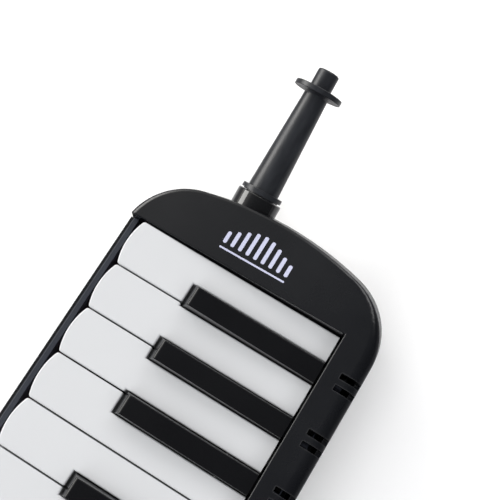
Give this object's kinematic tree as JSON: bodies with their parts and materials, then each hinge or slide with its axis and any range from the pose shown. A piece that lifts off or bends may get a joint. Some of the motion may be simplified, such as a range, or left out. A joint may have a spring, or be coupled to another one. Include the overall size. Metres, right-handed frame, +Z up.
{
  "type": "melodica",
  "caption": "Hand-held keyboard wind instrument: free reeds in an air chamber under a piano keyboard, blown through a short mouthpiece at one end.",
  "frame": {"origin": "under the middle of the whole object, on the surface that its feet stand on", "axes": "+X along the keyboard from the low notes and the mouthpiece to the high notes, +Y from the player to the back, +Z up"},
  "size_m": [0.4892, 0.109, 0.0549],
  "materials": {
    "case_plastic": "semi-gloss",
    "rail_plastic": "satin",
    "white_key": "gloss",
    "black_key": "semi-gloss",
    "mouth_plastic": "semi-gloss",
    "collar_plastic": "gloss",
    "button_plastic": "satin",
    "chamber_plastic": "matte",
    "reed_brass": "satin",
    "reed_bronze": "satin",
    "steel": "brushed",
    "spring_steel": "bright",
    "gasket_rubber": "matte",
    "foot_rubber": "matte",
    "felt": "felt",
    "strap": "woven"
  },
  "bodies": {
    "case": {"air_chamber": "chamber_plastic", "axle_clips": "spring_steel", "case_screws": "steel", "chamber_cover": "chamber_plastic", "chamber_gasket": "gasket_rubber", "cover_screws": "steel", "drain_spring": "spring_steel", "feet": "foot_rubber", "front_rail": "rail_plastic", "hand_strap": "strap", "inlet_collar": "collar_plastic", "inlet_duct": "chamber_plastic", "key_axle": "steel", "key_springs": "spring_steel", "key_stop_felt": "felt", "lower_case": "case_plastic", "reed_plate_bass": "reed_brass", "reed_plate_treble": "reed_brass", "reed_rivets": "reed_brass", "reeds_bass": "reed_bronze", "reeds_treble": "reed_bronze", "small_screws": "steel", "strap_plates": "steel", "upper_case": "case_plastic"},
    "key_f_3": {"key_f_3": "white_key"},
    "key_f_sharp_3": {"key_f_sharp_3": "black_key"},
    "key_g_3": {"key_g_3": "white_key"},
    "key_g_sharp_3": {"key_g_sharp_3": "black_key"},
    "key_a_3": {"key_a_3": "white_key"},
    "key_a_sharp_3": {"key_a_sharp_3": "black_key"},
    "key_b_3": {"key_b_3": "white_key"},
    "key_c_4": {"key_c_4": "white_key"},
    "key_c_sharp_4": {"key_c_sharp_4": "black_key"},
    "key_d_4": {"key_d_4": "white_key"},
    "key_d_sharp_4": {"key_d_sharp_4": "black_key"},
    "key_e_4": {"key_e_4": "white_key"},
    "key_f_4": {"key_f_4": "white_key"},
    "key_f_sharp_4": {"key_f_sharp_4": "black_key"},
    "key_g_4": {"key_g_4": "white_key"},
    "key_g_sharp_4": {"key_g_sharp_4": "black_key"},
    "key_a_4": {"key_a_4": "white_key"},
    "key_a_sharp_4": {"key_a_sharp_4": "black_key"},
    "key_b_4": {"key_b_4": "white_key"},
    "key_c_5": {"key_c_5": "white_key"},
    "key_c_sharp_5": {"key_c_sharp_5": "black_key"},
    "key_d_5": {"key_d_5": "white_key"},
    "key_d_sharp_5": {"key_d_sharp_5": "black_key"},
    "key_e_5": {"key_e_5": "white_key"},
    "key_f_5": {"key_f_5": "white_key"},
    "key_f_sharp_5": {"key_f_sharp_5": "black_key"},
    "key_g_5": {"key_g_5": "white_key"},
    "key_g_sharp_5": {"key_g_sharp_5": "black_key"},
    "key_a_5": {"key_a_5": "white_key"},
    "key_a_sharp_5": {"key_a_sharp_5": "black_key"},
    "key_b_5": {"key_b_5": "white_key"},
    "key_c_6": {"key_c_6": "white_key"},
    "mouthpiece": {"mouthpiece": "mouth_plastic"},
    "drain_valve": {"drain_button": "button_plastic", "drain_seal": "gasket_rubber"}
  },
  "joints": [
    {"name": "key_f_3_press", "type": "hinge", "parent": "case", "child": "key_f_3", "pos_m": [0, 0.02575, 0.029], "axis": [1, 0, 0], "range_deg": [0, 3.5], "stiffness_Nm_per_rad": 0.2, "springref_deg": -11.46, "deforming": ["key_springs"]},
    {"name": "key_f_sharp_3_press", "type": "hinge", "parent": "case", "child": "key_f_sharp_3", "pos_m": [0, 0.02575, 0.029], "axis": [1, 0, 0], "range_deg": [0, 3.5], "stiffness_Nm_per_rad": 0.2, "springref_deg": -11.46},
    {"name": "key_g_3_press", "type": "hinge", "parent": "case", "child": "key_g_3", "pos_m": [0, 0.02575, 0.029], "axis": [1, 0, 0], "range_deg": [0, 3.5], "stiffness_Nm_per_rad": 0.2, "springref_deg": -11.46},
    {"name": "key_g_sharp_3_press", "type": "hinge", "parent": "case", "child": "key_g_sharp_3", "pos_m": [0, 0.02575, 0.029], "axis": [1, 0, 0], "range_deg": [0, 3.5], "stiffness_Nm_per_rad": 0.2, "springref_deg": -11.46},
    {"name": "key_a_3_press", "type": "hinge", "parent": "case", "child": "key_a_3", "pos_m": [0, 0.02575, 0.029], "axis": [1, 0, 0], "range_deg": [0, 3.5], "stiffness_Nm_per_rad": 0.2, "springref_deg": -11.46},
    {"name": "key_a_sharp_3_press", "type": "hinge", "parent": "case", "child": "key_a_sharp_3", "pos_m": [0, 0.02575, 0.029], "axis": [1, 0, 0], "range_deg": [0, 3.5], "stiffness_Nm_per_rad": 0.2, "springref_deg": -11.46},
    {"name": "key_b_3_press", "type": "hinge", "parent": "case", "child": "key_b_3", "pos_m": [0, 0.02575, 0.029], "axis": [1, 0, 0], "range_deg": [0, 3.5], "stiffness_Nm_per_rad": 0.2, "springref_deg": -11.46},
    {"name": "key_c_4_press", "type": "hinge", "parent": "case", "child": "key_c_4", "pos_m": [0, 0.02575, 0.029], "axis": [1, 0, 0], "range_deg": [0, 3.5], "stiffness_Nm_per_rad": 0.2, "springref_deg": -11.46},
    {"name": "key_c_sharp_4_press", "type": "hinge", "parent": "case", "child": "key_c_sharp_4", "pos_m": [0, 0.02575, 0.029], "axis": [1, 0, 0], "range_deg": [0, 3.5], "stiffness_Nm_per_rad": 0.2, "springref_deg": -11.46},
    {"name": "key_d_4_press", "type": "hinge", "parent": "case", "child": "key_d_4", "pos_m": [0, 0.02575, 0.029], "axis": [1, 0, 0], "range_deg": [0, 3.5], "stiffness_Nm_per_rad": 0.2, "springref_deg": -11.46},
    {"name": "key_d_sharp_4_press", "type": "hinge", "parent": "case", "child": "key_d_sharp_4", "pos_m": [0, 0.02575, 0.029], "axis": [1, 0, 0], "range_deg": [0, 3.5], "stiffness_Nm_per_rad": 0.2, "springref_deg": -11.46},
    {"name": "key_e_4_press", "type": "hinge", "parent": "case", "child": "key_e_4", "pos_m": [0, 0.02575, 0.029], "axis": [1, 0, 0], "range_deg": [0, 3.5], "stiffness_Nm_per_rad": 0.2, "springref_deg": -11.46},
    {"name": "key_f_4_press", "type": "hinge", "parent": "case", "child": "key_f_4", "pos_m": [0, 0.02575, 0.029], "axis": [1, 0, 0], "range_deg": [0, 3.5], "stiffness_Nm_per_rad": 0.2, "springref_deg": -11.46},
    {"name": "key_f_sharp_4_press", "type": "hinge", "parent": "case", "child": "key_f_sharp_4", "pos_m": [0, 0.02575, 0.029], "axis": [1, 0, 0], "range_deg": [0, 3.5], "stiffness_Nm_per_rad": 0.2, "springref_deg": -11.46},
    {"name": "key_g_4_press", "type": "hinge", "parent": "case", "child": "key_g_4", "pos_m": [0, 0.02575, 0.029], "axis": [1, 0, 0], "range_deg": [0, 3.5], "stiffness_Nm_per_rad": 0.2, "springref_deg": -11.46},
    {"name": "key_g_sharp_4_press", "type": "hinge", "parent": "case", "child": "key_g_sharp_4", "pos_m": [0, 0.02575, 0.029], "axis": [1, 0, 0], "range_deg": [0, 3.5], "stiffness_Nm_per_rad": 0.2, "springref_deg": -11.46},
    {"name": "key_a_4_press", "type": "hinge", "parent": "case", "child": "key_a_4", "pos_m": [0, 0.02575, 0.029], "axis": [1, 0, 0], "range_deg": [0, 3.5], "stiffness_Nm_per_rad": 0.2, "springref_deg": -11.46},
    {"name": "key_a_sharp_4_press", "type": "hinge", "parent": "case", "child": "key_a_sharp_4", "pos_m": [0, 0.02575, 0.029], "axis": [1, 0, 0], "range_deg": [0, 3.5], "stiffness_Nm_per_rad": 0.2, "springref_deg": -11.46},
    {"name": "key_b_4_press", "type": "hinge", "parent": "case", "child": "key_b_4", "pos_m": [0, 0.02575, 0.029], "axis": [1, 0, 0], "range_deg": [0, 3.5], "stiffness_Nm_per_rad": 0.2, "springref_deg": -11.46},
    {"name": "key_c_5_press", "type": "hinge", "parent": "case", "child": "key_c_5", "pos_m": [0, 0.02575, 0.029], "axis": [1, 0, 0], "range_deg": [0, 3.5], "stiffness_Nm_per_rad": 0.2, "springref_deg": -11.46},
    {"name": "key_c_sharp_5_press", "type": "hinge", "parent": "case", "child": "key_c_sharp_5", "pos_m": [0, 0.02575, 0.029], "axis": [1, 0, 0], "range_deg": [0, 3.5], "stiffness_Nm_per_rad": 0.2, "springref_deg": -11.46},
    {"name": "key_d_5_press", "type": "hinge", "parent": "case", "child": "key_d_5", "pos_m": [0, 0.02575, 0.029], "axis": [1, 0, 0], "range_deg": [0, 3.5], "stiffness_Nm_per_rad": 0.2, "springref_deg": -11.46},
    {"name": "key_d_sharp_5_press", "type": "hinge", "parent": "case", "child": "key_d_sharp_5", "pos_m": [0, 0.02575, 0.029], "axis": [1, 0, 0], "range_deg": [0, 3.5], "stiffness_Nm_per_rad": 0.2, "springref_deg": -11.46},
    {"name": "key_e_5_press", "type": "hinge", "parent": "case", "child": "key_e_5", "pos_m": [0, 0.02575, 0.029], "axis": [1, 0, 0], "range_deg": [0, 3.5], "stiffness_Nm_per_rad": 0.2, "springref_deg": -11.46},
    {"name": "key_f_5_press", "type": "hinge", "parent": "case", "child": "key_f_5", "pos_m": [0, 0.02575, 0.029], "axis": [1, 0, 0], "range_deg": [0, 3.5], "stiffness_Nm_per_rad": 0.2, "springref_deg": -11.46},
    {"name": "key_f_sharp_5_press", "type": "hinge", "parent": "case", "child": "key_f_sharp_5", "pos_m": [0, 0.02575, 0.029], "axis": [1, 0, 0], "range_deg": [0, 3.5], "stiffness_Nm_per_rad": 0.2, "springref_deg": -11.46},
    {"name": "key_g_5_press", "type": "hinge", "parent": "case", "child": "key_g_5", "pos_m": [0, 0.02575, 0.029], "axis": [1, 0, 0], "range_deg": [0, 3.5], "stiffness_Nm_per_rad": 0.2, "springref_deg": -11.46},
    {"name": "key_g_sharp_5_press", "type": "hinge", "parent": "case", "child": "key_g_sharp_5", "pos_m": [0, 0.02575, 0.029], "axis": [1, 0, 0], "range_deg": [0, 3.5], "stiffness_Nm_per_rad": 0.2, "springref_deg": -11.46},
    {"name": "key_a_5_press", "type": "hinge", "parent": "case", "child": "key_a_5", "pos_m": [0, 0.02575, 0.029], "axis": [1, 0, 0], "range_deg": [0, 3.5], "stiffness_Nm_per_rad": 0.2, "springref_deg": -11.46},
    {"name": "key_a_sharp_5_press", "type": "hinge", "parent": "case", "child": "key_a_sharp_5", "pos_m": [0, 0.02575, 0.029], "axis": [1, 0, 0], "range_deg": [0, 3.5], "stiffness_Nm_per_rad": 0.2, "springref_deg": -11.46},
    {"name": "key_b_5_press", "type": "hinge", "parent": "case", "child": "key_b_5", "pos_m": [0, 0.02575, 0.029], "axis": [1, 0, 0], "range_deg": [0, 3.5], "stiffness_Nm_per_rad": 0.2, "springref_deg": -11.46},
    {"name": "key_c_6_press", "type": "hinge", "parent": "case", "child": "key_c_6", "pos_m": [0, 0.02575, 0.029], "axis": [1, 0, 0], "range_deg": [0, 3.5], "stiffness_Nm_per_rad": 0.2, "springref_deg": -11.46},
    {"name": "mouthpiece_pull", "type": "slide", "parent": "case", "child": "mouthpiece", "axis": [-0.9563, -0.0083, 0.2924], "range_m": [0, 0.02]},
    {"name": "drain_press", "type": "slide", "parent": "case", "child": "drain_valve", "axis": [-1, 0, 0], "range_m": [0, 0.0025], "stiffness_N_per_m": 300, "springref_m": -0.004, "deforming": ["drain_spring"]}
  ]
}
